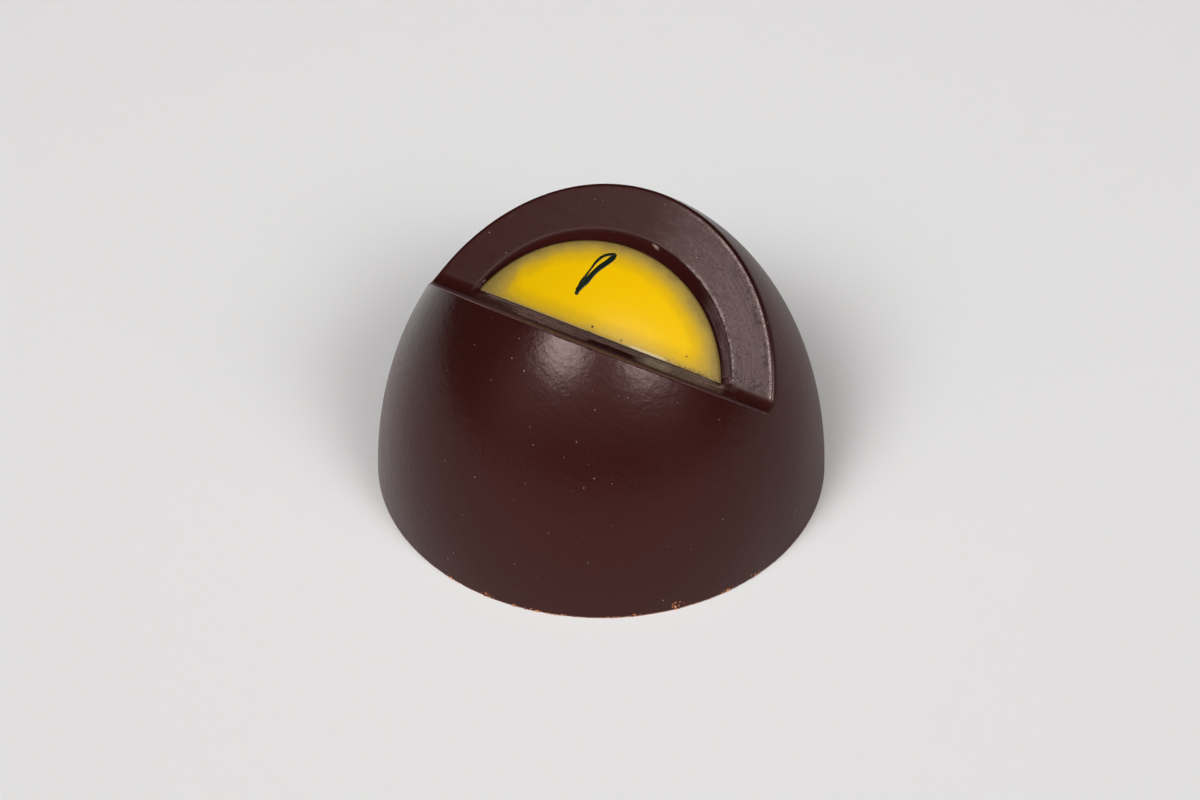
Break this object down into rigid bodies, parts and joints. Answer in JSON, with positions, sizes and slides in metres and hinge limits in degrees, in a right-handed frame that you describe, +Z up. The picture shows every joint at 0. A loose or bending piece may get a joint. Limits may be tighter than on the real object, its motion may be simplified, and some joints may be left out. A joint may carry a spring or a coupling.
{
  "type": "chocolate praline",
  "caption": "Moulded dark chocolate dome with a V-shaped notch across its crown; one wall carries a low crowned cushion painted yellow.",
  "frame": {"origin": "middle of the flat base that the praline stands on", "axes": "+Z up through the dome's axis; X along the bottom line of the notch; the painted face looks to -Y and up"},
  "size_m": [0.029, 0.029, 0.0175],
  "materials": {
    "dark_chocolate": "tempered dark chocolate, glossy from the mould, with soft scuffs along the edges",
    "yellow_cocoa_butter": "thin satin skin of coloured cocoa butter that fades out at its rim",
    "dark_brush_mark": "thin brush stroke of almost black green colour"
  },
  "bodies": {
    "root": {"praline": "dark_chocolate"}
  },
  "joints": []
}
